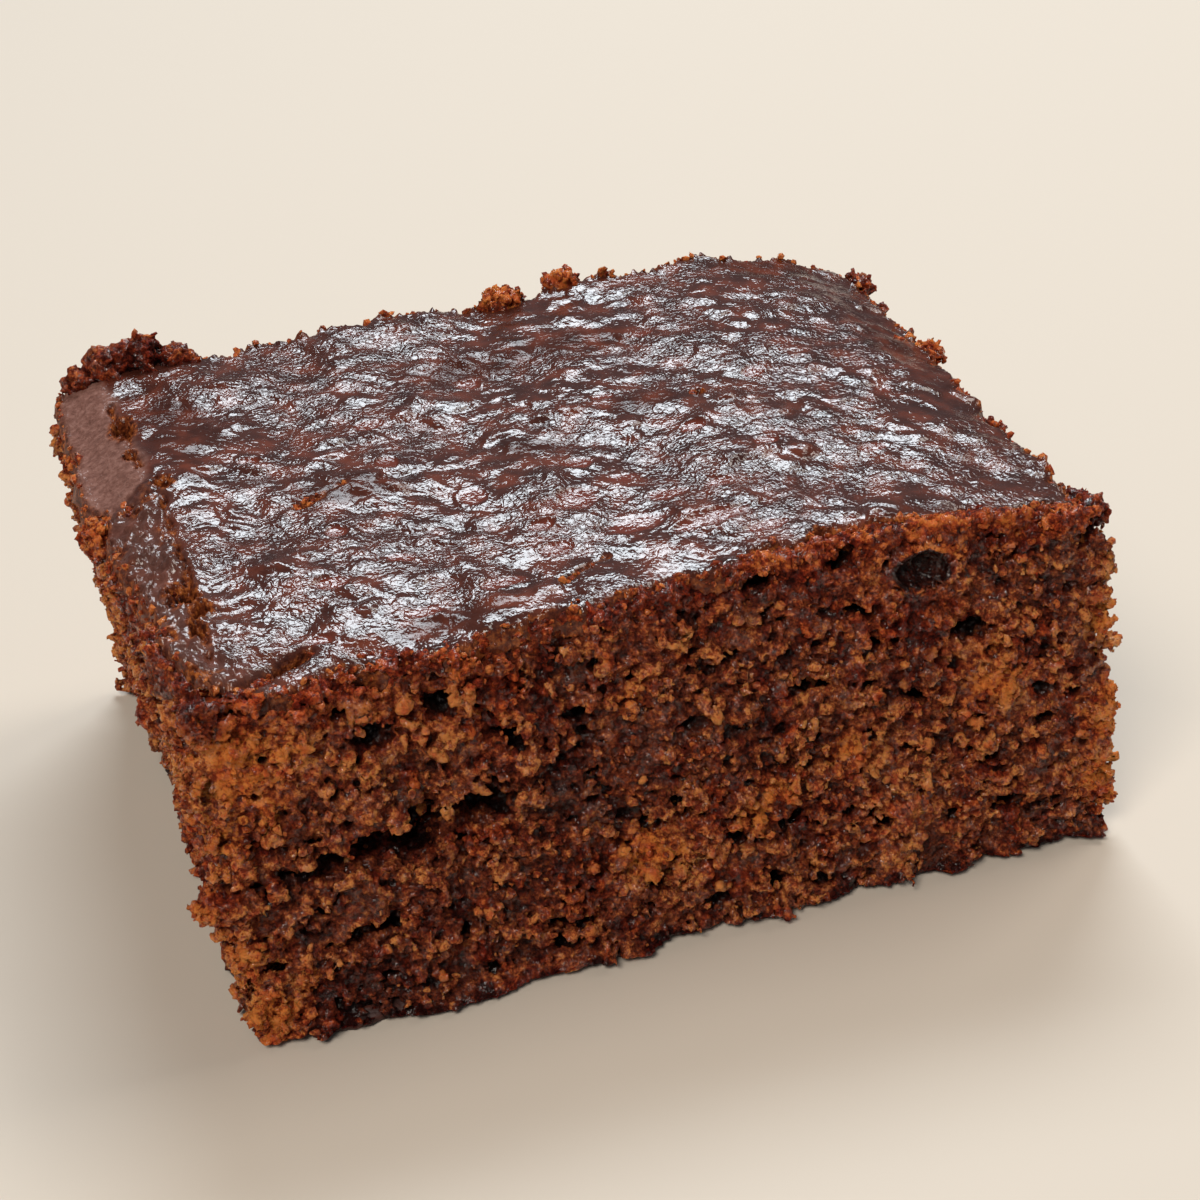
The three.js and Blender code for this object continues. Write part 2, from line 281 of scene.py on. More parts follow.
def add_lump(solid, ragged, centre, radii, raggedness=0.45):
    """Adds a ragged ellipsoid of crumb to the solid."""
    block, outside = block_round(centre, radii)
    np.maximum(solid[block], raggedness * ragged[block] - outside, out=solid[block])


def face_place(side, along):
    """A place along a face, from 0 to 1, from its distance along x or y from the middle."""
    return along * (1 if side < 2 else -1) / FACE_SPAN[side] + 0.5


def open_named_holes(solid, ragged):
    """Opens the tunnel, the slit, the large pores and the date's hollow of the front face. Firm crumb is
    set behind the date first, so that its hollow has a whole rim."""
    for along, height, long, tall, deep in TUNNEL + FRONT_PORES:
        carve(solid, ragged, wall_point(0, face_place(0, along), height, 0.1 * deep), (long, deep, tall))
    along, height, long, tall, deep = DATE_HOLLOW
    behind = wall_point(0, face_place(0, along), height, 0.9)
    add_lump(solid, ragged, behind, (1.3 * long, 1.5, 1.4 * tall), 0.2)
    carve(solid, ragged, wall_point(0, face_place(0, along), height, -0.4), (long, deep, tall), 0.06)


def open_bubbles(solid, ragged):
    """Opens many bubbles by chance in all four faces, the deep ones with a second one behind, off to one
    side, as bubbles run into each other."""
    chance = np.random.default_rng(5)
    for side in range(4):
        for least, largest, per_area in BUBBLE_SIZES:
            for _ in range(int(per_area * FACE_SPAN[side] * HEIGHT)):
                u, height = chance.uniform(0.03, 0.97), chance.uniform(0.8, 31)
                long = mix(least, largest, chance.random() ** 2)
                tall, deep = long * chance.uniform(0.45, 0.8), long * chance.uniform(0.8, 1.5)
                radii = wall_radii(side, long, deep, tall)
                sunk = chance.uniform(-0.4, 0.4) * deep
                carve(solid, ragged, wall_point(side, u, height, sunk), radii)
                aside, higher = chance.uniform(-0.8, 0.8, 2) * long
                if sunk > 0 and long > 0.5:
                    place = (side, u + aside / FACE_SPAN[side], height + 0.5 * higher, sunk + 0.9 * deep)
                    carve(solid, ragged, wall_point(*place), np.multiply(radii, 0.75))


def add_grains(solid, ragged):
    """Sets the lumps and many small grains of torn crumb on the faces."""
    for side, along, height, long, tall, deep in LUMPS:
        centre = wall_point(side, face_place(side, along), height, 0.2 if height < 31.5 else 1.2)
        add_lump(solid, ragged, centre, wall_radii(side, long, deep, tall))
    chance = np.random.default_rng(6)
    for side in range(4):
        for _ in range(int(GRAINS_PER_AREA * FACE_SPAN[side] * HEIGHT)):
            u, height = chance.uniform(0, 1), chance.uniform(0.5, 30)
            size = mix(0.3, 0.7, chance.random() ** 2)
            radii = size * chance.uniform(0.6, 1.4, 3)
            add_lump(solid, ragged, wall_point(side, u, height, chance.uniform(-0.1, 0.6)), radii, 0.7)


def spread(reached, room, steps):
    """Lets a region of the grid grow into the room next to it, one step at a time along each axis."""
    for _ in range(steps):
        grown = reached.copy()
        for axis in range(3):
            ahead = [slice(None)] * 3
            behind = [slice(None)] * 3
            ahead[axis], behind[axis] = slice(1, None), slice(None, -1)
            grown[tuple(ahead)] |= reached[tuple(behind)]
            grown[tuple(behind)] |= reached[tuple(ahead)]
        grown &= room
        reached = grown
    return reached


def crumb_field(depths):
    """The sponge as a field over the grid, above zero inside it: the least depth behind its faces and top,
    lumpy all over, with its bubbles taken out and its grains added. Crumb that hangs on nothing is dropped,
    and bubbles that don't reach the air are filled."""
    x, y, z = PLACES
    front_back, ends = soft_least(depths[0], depths[2], 1), soft_least(depths[1], depths[3], 1)
    walls = soft_least(front_back, ends, 1.2)
    covered = smooth((MATT_STRIP[0] - x) / 2) * smooth((y - MATT_STRIP[1]) / 2)
    under_top = (top_level(x, y) - SKIN - covered).astype(np.float32) - z
    under_top = under_top + smooth(1 - depths[0] / 3) * (0.8 + 0.2 * smooth((x - 2) / 4)).astype(np.float32)
    worn_gap = np.hypot(x - WORN_CORNER[0], y - WORN_CORNER[1])
    under_top -= (2.6 * smooth(1.15 - worn_gap / 4.5)).astype(np.float32)
    corner = smooth(1 - np.maximum(front_back, ends) / 2.5)
    bias = corner * (0.35 + 0.7 * grid_noise(1.8, 17) + 0.5 * grid_noise(3.4, 18))
    solid = soft_least(walls + bias - 0.3, under_top, 1.6)
    solid += 0.35 * grid_noise(7.0, 11) + 0.22 * grid_noise(2.4, 12)
    solid += 0.2 * grid_noise(1.1, 13) + 0.1 * grid_noise(0.6, 14)
    solid -= (1.2 * covered * smooth((z - 26) / 3)).astype(np.float32)
    ragged = grid_noise(0.55, 15) + 0.6 * grid_noise(1.4, 16)
    open_bubbles(solid, ragged)
    add_grains(solid, ragged)
    np.maximum(solid, np.minimum(walls - FOLD, under_top - 1.5), out=solid)
    open_named_holes(solid, ragged)
    attached = spread((walls > 4) & (solid > 0), solid > 0, 64)
    air = spread(walls < -1.5, ~attached, 45)
    solid = np.where(air, np.minimum(solid, -0.03), np.maximum(solid, 0.03))
    return solid, walls


def read_off(field, points):
    """A field's value at points between those of the grid, blended from the eight round each point."""
    place = [(points[:, axis] - GRID[axis][0]) / SPACING for axis in range(3)]
    low = [np.clip(np.floor(p).astype(int), 0, n - 2) for p, n in zip(place, field.shape)]
    part = [p - l for p, l in zip(place, low)]
    total = np.zeros(len(points))
    for corner in np.ndindex(2, 2, 2):
        near = np.prod([p if c else 1 - p for p, c in zip(part, corner)], axis=0)
        total += near * field[tuple(l + c for l, c in zip(low, corner))]
    return total


def blur(field, reach):
    """The mean of a field over a cube that reaches so many steps to each side."""
    for axis in range(3):
        total = np.cumsum(np.concatenate([np.zeros_like(np.take(field, [0], axis)), field], axis), axis)
        count = field.shape[axis]
        low = np.clip(np.arange(count) - reach, 0, count)
        high = np.clip(np.arange(count) + reach + 1, 0, count)
        wide = (high - low).reshape([-1 if n == axis else 1 for n in range(3)])
        field = (np.take(total, high, axis) - np.take(total, low, axis)) / wide
    return field


def skin_of(field, keep):
    """The surface where a field passes through zero, as points and triangles. Each cell of the grid that
    the surface passes through has one point, at the mean of where the cell's edges cross zero, and each
    edge of the grid that crosses zero has a quad between the four cells round it."""
    inside = field > 0
    count = np.zeros([n - 1 for n in field.shape], dtype=np.int8)
    for corner in np.ndindex(2, 2, 2):
        count += inside[tuple(slice(c, n - 1 + c) for c, n in zip(corner, field.shape))]
    cells = np.argwhere((count > 0) & (count < 8) & keep[:-1, :-1, :-1])
    number = np.full(count.shape, -1, dtype=np.int32)
    number[tuple(cells.T)] = np.arange(len(cells))
    total = np.zeros((len(cells), 3))
    crossings = np.zeros(len(cells))
    for axis in range(3):
        for corner in np.ndindex(2, 2):
            start = np.insert(corner, axis, 0)
            first = field[tuple((cells + start).T)]
            start_end = start.copy()
            start_end[axis] = 1
            second = field[tuple((cells + start_end).T)]
            crosses = (first > 0) != (second > 0)
            part = np.where(crosses, first / np.where(crosses, first - second, 1), 0)
            place = start + part[:, None] * np.eye(3)[axis]
            total += place * crosses[:, None]
            crossings += crosses
    corner_place = np.stack([line[0] for line in GRID])
    points = corner_place + SPACING * (cells + total / crossings[:, None])
    quads = []
    for axis in range(3):
        one, other = (axis + 1) % 3, (axis + 2) % 3
        ahead = [slice(1, -1)] * 3
        behind = [slice(1, -1)] * 3
        ahead[axis], behind[axis] = slice(1, None), slice(None, -1)
        low, high = inside[tuple(behind)], inside[tuple(ahead)]
        for going_in in (False, True):
            edges = np.argwhere((low != high) & (high == going_in))
            edges[:, [one, other]] += 1
            round_edge = []
            for back_one, back_other in ((1, 1), (0, 1), (0, 0), (1, 0)):
                cell = edges.copy()
                cell[:, one] -= back_one
                cell[:, other] -= back_other
                round_edge.append(number[tuple(cell.T)])
            quad = np.stack(round_edge[::-1] if going_in else round_edge, axis=1)
            quads.append(quad[(quad >= 0).all(axis=1)])
    quads = np.concatenate(quads)
    triangles = np.concatenate([quads[:, [0, 1, 2]], quads[:, [0, 2, 3]]])
    return points, triangles


def open_edges(faces):
    """The edges that only one triangle has, each turned round, so that a triangle put on it closes it."""
    edges = np.concatenate([faces[:, [0, 1]], faces[:, [1, 2]], faces[:, [2, 0]]]).astype(np.int64)
    code = edges[:, 0] << 32 | edges[:, 1]
    turned = edges[:, 1] << 32 | edges[:, 0]
    return edges[~np.isin(code, turned)][:, ::-1]


def make_piece(name, points, faces, apex, material, slot_name, **values):
    """A closed mesh from points in millimetres and the triangles that show: each of its open edges is
    joined to one apex inside the pudding. Each named value is kept at the points for the material."""
    used, renumbered = np.unique(faces, return_inverse=True)
    faces = renumbered.reshape(-1, 3)
    open_pairs = open_edges(faces)
    closing = np.insert(open_pairs, 2, len(used), axis=1)
    triangles = np.concatenate([faces, closing]).astype(np.int32)
    places = np.concatenate([points[used], np.reshape(apex, (-1, 3))])
    mesh = bpy.data.meshes.new(name)
    mesh.vertices.add(len(places))
    mesh.vertices.foreach_set("co", ((places - MIDDLE) * MM).astype(np.float32).ravel())
    mesh.loops.add(triangles.size)
    mesh.loops.foreach_set("vertex_index", triangles.ravel())
    mesh.polygons.add(len(triangles))
    mesh.polygons.foreach_set("loop_start", np.arange(0, triangles.size, 3, dtype=np.int32))
    mesh.polygons.foreach_set("use_smooth", np.ones(len(triangles), dtype=bool))
    mesh.update(calc_edges=True)
    ends = np.empty(2 * len(mesh.edges), dtype=np.int32)
    mesh.edges.foreach_get("vertices", ends)
    ends = np.sort(ends.reshape(-1, 2).astype(np.int64), axis=1)
    borders = np.sort(open_pairs, axis=1)
    sharp = np.isin(ends[:, 0] << 32 | ends[:, 1], borders[:, 0] << 32 | borders[:, 1])
    sharp_edge = mesh.attributes.new("sharp_edge", "BOOLEAN", "EDGE")
    sharp_edge.data.foreach_set("value", sharp)
    for value_name, value in values.items():
        attribute = mesh.attributes.new(value_name, "FLOAT", "POINT")
        attribute.data.foreach_set("value", np.resize(value[used], len(places)).astype(np.float32))
    mesh.materials.append(material)
    piece = bpy.data.objects.new(name, mesh)
    bpy.context.scene.collection.objects.link(piece)
    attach(piece, "root")
    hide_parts("sponge")
    return piece


def outward(points, faces):
    """The outward direction at each point: the sum of its triangles' directions, each by its area."""
    corners = points[faces]
    across = np.cross(corners[:, 1] - corners[:, 0], corners[:, 2] - corners[:, 0])
    total = np.stack([
        sum(np.bincount(faces[:, corner], across[:, axis], len(points)) for corner in range(3))
        for axis in range(3)
    ], axis=1)
    return total / (np.linalg.norm(total, axis=1, keepdims=True) + 1e-9)


def scatter(cells, salt):
    """A number from 0 to 1 for each cell of space: its three whole numbers, times large primes, stirred."""
    cells = cells.astype(np.int64)
    stirred = cells[..., 0] * 73856093 ^ cells[..., 1] * 19349663 ^ cells[..., 2] * 83492791
    stirred = (stirred ^ salt * 2654435761) & 0xFFFFFFFF
    stirred = (stirred ^ stirred >> 15) * 2246822519 & 0xFFFFFFFF
    stirred = (stirred ^ stirred >> 13) * 3266489917 & 0xFFFFFFFF
    return (stirred ^ stirred >> 16) / 4294967296.0


def noise(points, salt):
    """Smooth noise from -1 to 1: the eight corners of each point's cell have a number each, and they are
    blended by how near they are."""
    cells = np.floor(points)
    part = smooth(points - cells)
    total = np.zeros(points.shape[:-1])
    for corner in np.ndindex(2, 2, 2):
        near = np.prod(np.where(corner, part, 1 - part), axis=-1)
        total += near * scatter(cells + corner, salt)
    return 2 * total - 1


def clumps(points, salt):
    """Space broken into uneven clumps, one round a random seed in each cell. Gives how far a point is from
    its clump's border, as the distance to the second nearest seed less that to the nearest; a number from 0
    to 1 that its whole clump shares; and how high a plane through the seed, tilted by chance, is there."""
    cells = np.floor(points)
    near = np.full(points.shape[:-1], 9.0)
    second = near.copy()
    number = np.zeros_like(near)
    offset = np.zeros_like(points)
    for step in np.ndindex(3, 3, 3):
        cell = cells + np.array(step) - 1
        seed = cell + np.stack([scatter(cell, salt + axis) for axis in range(3)], axis=-1)
        gap = np.sqrt(((points - seed) ** 2).sum(-1))
        closer = gap < near
        second = np.where(closer, near, np.minimum(second, gap))
        number = np.where(closer, scatter(cell, salt + 7), number)
        offset = np.where(closer[..., None], points - seed, offset)
        near = np.where(closer, gap, near)
    turn, lift = 2 * np.pi * (number * 1013 % 1), 2 * (number * 7121 % 1) - 1
    across = np.sqrt(1 - lift**2)
    way = np.stack([across * np.cos(turn), across * np.sin(turn), lift], axis=-1)
    return second - near, number, (offset * way).sum(-1)


def new_material(name):
    """A new material, the tree of its nodes, and its shader."""
    material = bpy.data.materials.new(name)
    material.use_nodes = True
    return material, material.node_tree, material.node_tree.nodes["Principled BSDF"]


def fill_inputs(tree, node, inputs):
    """Gives each input of a node its value, or links it where it is given another node's output."""
    for name, value in inputs.items():
        if isinstance(value, bpy.types.NodeSocket):
            tree.links.new(value, node.inputs[name])
        else:
            node.inputs[name].default_value = value


def add_node(tree, kind, inputs, **settings):
    """Adds a node of a kind, with its settings and its inputs."""
    node = tree.nodes.new("ShaderNode" + kind)
    for name, value in settings.items():
        setattr(node, name, value)
    fill_inputs(tree, node, inputs)
    return node


def kept_values(tree, *names):
    """The values that the mesh keeps at its points, each under its name."""
    return [add_node(tree, "Attribute", {}, attribute_name=name).outputs["Fac"] for name in names]


def speckle(tree, scale, detail, roughness=0.5, distortion=0):
    """Noise from 0 to 1 over the piece, with about that many blobs to the metre."""
    place = add_node(tree, "TexCoord", {}).outputs["Object"]
    inputs = {"Scale": scale, "Detail": detail, "Roughness": roughness, "Distortion": distortion}
    return add_node(tree, "TexNoise", inputs | {"Vector": place}).outputs["Fac"]


def times_plus(tree, value, factor, other, clamp=False):
    """A value times a factor, plus another value, kept from 0 to 1 if it is clamped."""
    inputs = {0: value, 1: factor, 2: other}
    return add_node(tree, "Math", inputs, operation="MULTIPLY_ADD", use_clamp=clamp).outputs[0]


def greater(tree, one, other):
    """The greater of two values."""
    return add_node(tree, "Math", {0: one, 1: other}, operation="MAXIMUM").outputs[0]


def rescale(tree, value, first, last, low=0, high=1):
    """Goes evenly from the first number to the last as a value goes from low to high, and no further."""
    inputs = {"Value": value, "To Min": first, "To Max": last, "From Min": low, "From Max": high}
    return add_node(tree, "MapRange", inputs).outputs["Result"]


def shades(tree, value, stops):
    """Colours along a value from 0 to 1. Each stop is a place and the colour there."""
    ramp = add_node(tree, "ValToRGB", {"Fac": value})
    elements = ramp.color_ramp.elements
    while len(elements) < len(stops):
        elements.new(0.5)
    for element, (place, colour) in zip(elements, stops):
        element.position = place
        element.color = (*colour, 1)
    return ramp.outputs["Color"]


def lay_over(tree, factor, under, over, way="MIX"):
    """Mixes one colour over another by a factor, or multiplies it in."""
    inputs = {"Factor": factor, "A": under, "B": over}
    return add_node(tree, "Mix", inputs, data_type="RGBA", blend_type=way).outputs["Result"]


def raised(tree, height, strength, distance, under=None, invert=False):
    """The surface tilted as if it rose by the distance, in metres, where a height goes from 0 to 1."""
    inputs = {"Height": height, "Strength": strength, "Distance": distance}
    if under:
        inputs["Normal"] = under
    return add_node(tree, "Bump", inputs, invert=invert).outputs["Normal"]


def crumb_material():
    """Moist date crumb: its colour runs from near black to orange along its tone, which carries painted
    shade in the holes and painted light on what stands out, there partly the crumb's own drier orange. The
    hollows are taken further to black as painted shade. It is redder where toffee has soaked in, darker,
    greyer and wet where it is moist, and light passes a little way into it."""
    material, tree, shader = new_material("moist_crumb")
    tone, soak, warm, hollow, moist = kept_values(tree, "tone", "soak", "warm", "hollow", "moist")
    fine = speckle(tree, 4200, 3, 0.65)
    flakes = speckle(tree, 1150, 6, 0.7, 0.6)
    stain = speckle(tree, 760, 5, 0.7)
    syrup = speckle(tree, 1300, 3)
    place = add_node(tree, "TexCoord", {}).outputs["Object"]
    granules = add_node(tree, "TexVoronoi", {"Vector": place, "Scale": 2400}).outputs["Distance"]
    shade = times_plus(tree, flakes, 1.4, tone)
    shade = times_plus(tree, fine, 0.95, shade)
    shade = times_plus(tree, granules, -0.3, shade)
    colour = shades(tree, shade, [
        (0.30, (0.026, 0.0038, 0.0021)), (0.50, (0.096, 0.0165, 0.0078)), (0.70, (0.22, 0.045, 0.0165)),
        (0.86, (0.42, 0.107, 0.033)), (1.0, (0.72, 0.27, 0.076)),
    ])
    stained = rescale(tree, stain, 0, 1, 0.5, 0.62)
    colour = lay_over(tree, soak, colour, (0.78, 0.42, 0.34, 1), "MULTIPLY")
    colour = lay_over(tree, warm, colour, (1.0, 0.82, 0.6, 1), "MULTIPLY")
    colour = lay_over(tree, stained, colour, (0.80, 0.52, 0.64, 1), "MULTIPLY")
    colour = lay_over(tree, moist, colour, (0.5, 0.47, 0.5, 1), "MULTIPLY")
    # Painted shade: the colour is taken almost to black in the hollows.
    colour = lay_over(tree, hollow, colour, (0.005, 0.002, 0.0013, 1))
    gloss = times_plus(tree, moist, 0.2, rescale(tree, syrup, 0, 1, 0.48, 0.60))
    relief = raised(tree, granules, 0.5, 0.0004, invert=True)
    relief = raised(tree, flakes, 0.9, 0.0007, relief)
    relief = raised(tree, fine, 0.7, 0.0003, relief)
    fill_inputs(tree, shader, {
        "Base Color": colour,
        "Roughness": rescale(tree, moist, 0.6, 0.32),
        "Normal": relief,
        "Coat Weight": times_plus(tree, warm, -0.25, gloss, clamp=True),
        "Coat Normal": raised(tree, syrup, 0.9, 0.0007),
        "Coat Roughness": 0.13,
        "Specular IOR Level": 0.1,
        "Subsurface Weight": 0.25,
        "Subsurface Radius": (1.0, 0.35, 0.12),
        "Subsurface Scale": 0.0006,
    })
    return material


CRUMB = crumb_material()
wall_depth = wall_depths()
crumb, walls = crumb_field(wall_depth)
x, y, z = PLACES
showing = (z > FOOT) & ((walls < FOLD) | (z < top_level(x, y) - UNDER_TOP))
crumb_points, crumb_faces = skin_of(crumb, showing)
filled = (crumb > 0).astype(np.float32)
closeness = read_off(blur(filled, 3), crumb_points)
wide_closeness = read_off(blur(filled, 9), crumb_points)
depth = read_off(walls, crumb_points)

# Clumps of two sizes make its flakes and grains: each stands higher or lower, tilted its own way, and they
# are fainter where the crumb is moist and in the date's hollow.
stir = np.stack([noise(crumb_points / 0.65, 33 + axis) for axis in range(3)], axis=1)
grain_gap, grain, grain_tilt = clumps(crumb_points / 0.6 + 0.4 * stir, 41)
lump_gap, lump, lump_tilt = clumps(crumb_points * (0.6, 0.6, 0.9) + 0.6 * stir, 31)
patch = noise(crumb_points / 9.0, 121) + 0.5 * noise(crumb_points / 4.0, 122)
moist = smooth(1.7 * noise(crumb_points / 2.2, 141) + 0.9 * noise(crumb_points / 6.0, 142) - 0.4)
# Moist is raised in the hollows too, so that their walls are glossy; the darker, greyer colour it gives
# there is partly painted shade.
moist = np.maximum(moist, 0.8 * smooth((wide_closeness - 0.5) / 0.15))
direction = outward(crumb_points, crumb_faces)
proud = (lump > 0.62) * (lump - 0.62) / 0.38
relief = (0.24 * (lump - 0.5) + 0.35 * lump_tilt) * smooth(lump_gap / 0.12)
relief += (0.16 * (grain - 0.5) + 0.36 * grain_tilt) * smooth(grain_gap / 0.15)
date_along, date_height, date_long, date_tall, date_deep = DATE_HOLLOW
date_place = wall_point(0, face_place(0, date_along), date_height, -0.4)
date_gap = np.linalg.norm((crumb_points - date_place) / (date_long, date_deep, date_tall), axis=1)
in_date = smooth((1.2 - date_gap) / 0.1)
relief *= (1 - 0.5 * moist) * (1 - 0.85 * in_date)
crumb_points = crumb_points + direction * relief[:, None]

# Its tone carries painted shade in its holes and deeper behind the face, and painted light on what stands
# out, there partly the crumb's own drier orange. Toffee soaks in from the top and in patches, the bright
# places stay dry and warm, and the lowest crumb is darker.
# Painted shade from how closed in and how deep each point is, painted light on the proud lumps.
tone = -0.31 - 0.36 * (closeness - 0.5) - 0.32 * (wide_closeness - 0.5) - 0.05 * np.clip(depth, -1, 4)
tone += 0.2 * (grain - 0.5) + 0.12 * (lump - 0.5) + 0.06 * proud * (0.5 + patch) + 0.11 * patch
under_skin = top_level(crumb_points[:, 0], crumb_points[:, 1]) - crumb_points[:, 2]
soak = bump(under_skin, 0, 1.7 + patch) + 0.6 * smooth(2 * noise(crumb_points / 5.0, 131) - 0.2)
soak += 0.9 * smooth(3 * noise(crumb_points / 1.6, 132) - 0.7)
warm = np.zeros(len(crumb_points))
for *place, reach in BRIGHT:
    gap = np.linalg.norm(crumb_points - place, axis=1)
    warm = np.maximum(warm, smooth(1.3 - gap / reach + 0.5 * patch))
warm *= 0.25 + 0.75 * smooth(0.8 + 2.2 * noise(crumb_points / 1.5, 133))
for *place, reach in SOAKED:
    soaked = smooth(1.4 - np.linalg.norm(crumb_points - place, axis=1) / reach + 0.4 * patch)
    warm *= 1 - 0.8 * soaked
    soak += soaked
    moist = np.maximum(moist, 0.8 * soaked)
# The lowest crumb is darker, and takes the soaked colour too.
darker_foot = smooth((1.2 + 1.0 * noise(crumb_points / 1.8, 134) - crumb_points[:, 2]) / 0.8)
soak += darker_foot
tone += warm * (0.30 + 0.42 * (grain - 0.5)) - 0.08 * soak - 0.32 * darker_foot
tone -= 0.16 * bump(crumb_points[:, 0], -21, 11) * bump(crumb_points[:, 2], 9, 7)
tone -= 0.04 * smooth((8 - crumb_points[:, 2]) / 5)
soak = np.clip(soak, 0, 1) * (1 - 0.75 * warm)
moist *= 1 - 0.8 * warm
# Painted shade in the hollows: the more crumb there is round a point, the nearer to black its colour is
# taken.
hollow = 0.9 * smooth((wide_closeness - 0.57) / 0.2)
# In the date's hollow the dark is mostly its pebbly lining's own tone, with less painted shade.
tone = mix(tone, -0.66, in_date)
soak, warm, moist = soak * (1 - in_date), warm * (1 - in_date), np.maximum(moist, in_date)
hollow = mix(hollow, 0.25, in_date)

# Each triangle goes to the piece of its nearest face, on its side of the middle.
nearest = np.argmin([read_off(np.broadcast_to(d, crumb.shape), crumb_points) for d in wall_depth], axis=0)
for side, face_name in enumerate(FACE_NAMES):
    along = crumb_points[:, side % 2]
    for half, past_middle in (("near", along < 0), ("far", along >= 0)):
        own = (nearest == side) & past_middle
        make_piece(
            face_name + "_" + half, crumb_points, crumb_faces[own[crumb_faces[:, 0]]], (0, 0, FOOT), CRUMB,
            "sponge", tone=tone, soak=soak, warm=warm, hollow=hollow, moist=moist,
        )


# ---------------------------------------------------------------- the toffee skin on top
# Toffee sauce poured over the hot sponge and baked on: a thin dark skin, wrinkled and glossy, matt where
# it ran thin along the left edge. The knife tore its border, most of all along the front.

SKIN_COLUMNS = 410
SKIN_ROWS = 240


def blended_patch(across, up, edges):
    """A grid over the space inside four edges: halfway between the blend of the front and back edges and
    that of the left and right, less the blend of the corners. Each edge is given from left to right or
    from front to back."""
    front, back, left, right = edges
    s, t = across[None, :, None], up[:, None, None]
    ruled = mix(front[None], back[None], t) + mix(left[:, None], right[:, None], s)
    corners = mix(mix(front[0], front[-1], s), mix(back[0], back[-1], s), t)
    return ruled - corners


def outline_patch(columns, rows, level):
    """The grid over the space inside the sponge's outline at one level."""
    s, t = np.linspace(0, 1, columns), np.linspace(0, 1, rows)
    edges = (outline(0, s, level), outline(2, 1 - s, level), outline(3, 1 - t, level), outline(1, t, level))
    return blended_patch(s, t, edges), s, t


def flat_places(x, y, cell, level=0.37):
    """Places over the flat, all at one level, counted in cells of a size, or of one size each way."""
    long, wide = np.broadcast_to(cell, 2)
    return np.stack([x / long, y / wide, np.full_like(x, level)], axis=-1)


def flat_noise(x, y, cell, salt):
    """Smooth noise over the flat."""
    return noise(flat_places(x, y, cell), salt)


def tear(place, salt):
    """How far a torn border is set in, at places along it: big bites, small ones and fine teeth."""
    line = np.zeros_like(place)
    bite = 0.5 * np.abs(flat_noise(place, line, 4.3, salt)) + 0.4 * flat_noise(place, line, 1.7, salt + 1)
    teeth = 0.25 * flat_noise(place, line, 0.8, salt + 2) + 0.16 * flat_noise(place, line, 0.4, salt + 3)
    return 0.35 + bite + teeth


def crack_depth(x, y, start, end, width, deep, salt):
    """How deep a crack is at each point: a trough along a line, wandering from side to side, open in some
    stretches and closed in others."""
    start, end = np.array(start), np.array(end)
    along = end - start
    part = ((x - start[0]) * along[0] + (y - start[1]) * along[1]) / (along**2).sum()
    near = np.clip(part, 0, 1)
    wander = 0.5 * flat_noise(x, y, 2.2, salt) + 0.3 * flat_noise(x, y, 0.7, salt + 2)
    gap = np.hypot(x - start[0] - near * along[0] + wander, y - start[1] - near * along[1] + wander)
    open_here = smooth(1.1 * flat_noise(x, y, 1.5, salt + 1) + 0.7)
    return deep * bump(gap, 0, width) * open_here


# Pits where the skin is broken through: x, y, half length along x and half width along y.
PITS = [
    (-34.2, 15.4, 0.9, 1.8), (-33.2, 4.2, 0.8, 0.9), (-35.4, -12.0, 1.1, 1.5), (-34.4, -14.4, 0.7, 0.9),
    (-35.3, -16.8, 0.6, 1.1), (-34.6, 10.2, 0.5, 0.8), (12.2, 1.5, 0.5, 0.5), (-36.4, 2.6, 0.6, 0.6),
]
# Cracks: where each starts and ends, its width and its depth.
CRACKS = [
    ((-34.4, 20), (-34.2, 8), 0.3, 0.8), ((-33.8, 3), (-35.2, -20), 0.35, 1.1),
    ((-34.2, -24.9), (-28.4, -21.9), 0.4, 2.2), ((-24, -3), (-20, -1.5), 0.3, 0.5),
    ((-8, -21), (-4, -19), 0.3, 0.5),
]
# Pools of clear toffee, given like the pits.
POOLS = [
    (-3.3, -10.5, 2.4, 1.6), (0.3, -15.5, 3.0, 1.2), (5.6, -17.8, 3.4, 1.0), (-10.5, -6.5, 1.3, 1.2),
    (-15.5, 1.0, 1.0, 1.0), (-7.0, -16.5, 1.6, 1.0), (8.0, -13.0, 1.3, 0.8), (-15.0, 8.0, 1.2, 0.8),
    (9.5, -4.0, 1.2, 0.9), (-1.0, -5.0, 1.2, 0.9), (4.5, 4.5, 1.1, 0.8), (18.0, 3.0, 1.0, 0.8),
    (-22.0, -8.0, 1.0, 0.9), (-18.5, -13.0, 1.2, 0.7), (14.0, -8.5, 1.1, 0.8), (-5.0, 12.0, 1.3, 0.9),
    (22.0, -12.0, 1.2, 0.6), (27.5, -3.0, 0.8, 0.6), (-26.0, 5.5, 1.0, 0.6), (12.0, 14.0, 1.0, 0.6),
    (-12.0, -19.5, 2.2, 0.8), (-19.0, -20.5, 1.6, 0.7), (-24.5, -15.0, 1.4, 0.8), (9.0, -20.5, 2.2, 0.7),
    (1.5, -8.5, 1.5, 0.8), (-7.0, -13.0, 1.2, 0.7), (3.8, -12.6, 1.8, 0.8), (-27.0, -21.0, 1.3, 0.7),
]
# Stretches of skin that have lost some of their gloss, given like the pits.
DULL = [
    (0, 15, 12, 3.2), (21.5, -23, 5, 1.8), (28, 24, 6, 3), (-30, 12, 3, 7), (-16, -22.5, 6, 1.6),
    (8, 2, 4, 2), (-20, -2, 5, 2.2), (-3, -1, 3, 1.5), (33, 5, 3, 5),
]


def spot_gaps(x, y, spots, *waverings):
    """For each oval spot in turn, how far each point is from its middle, counted in the spot's own half
    sizes. Its edge wavers by noises, each given as how much, its cell and its salt."""
    noises = [much * flat_noise(x, y, cell, salt) for much, cell, salt in waverings]
    for at_x, at_y, long, wide in spots:
        yield sum(noises, np.hypot((x - at_x) / long, (y - at_y) / wide))


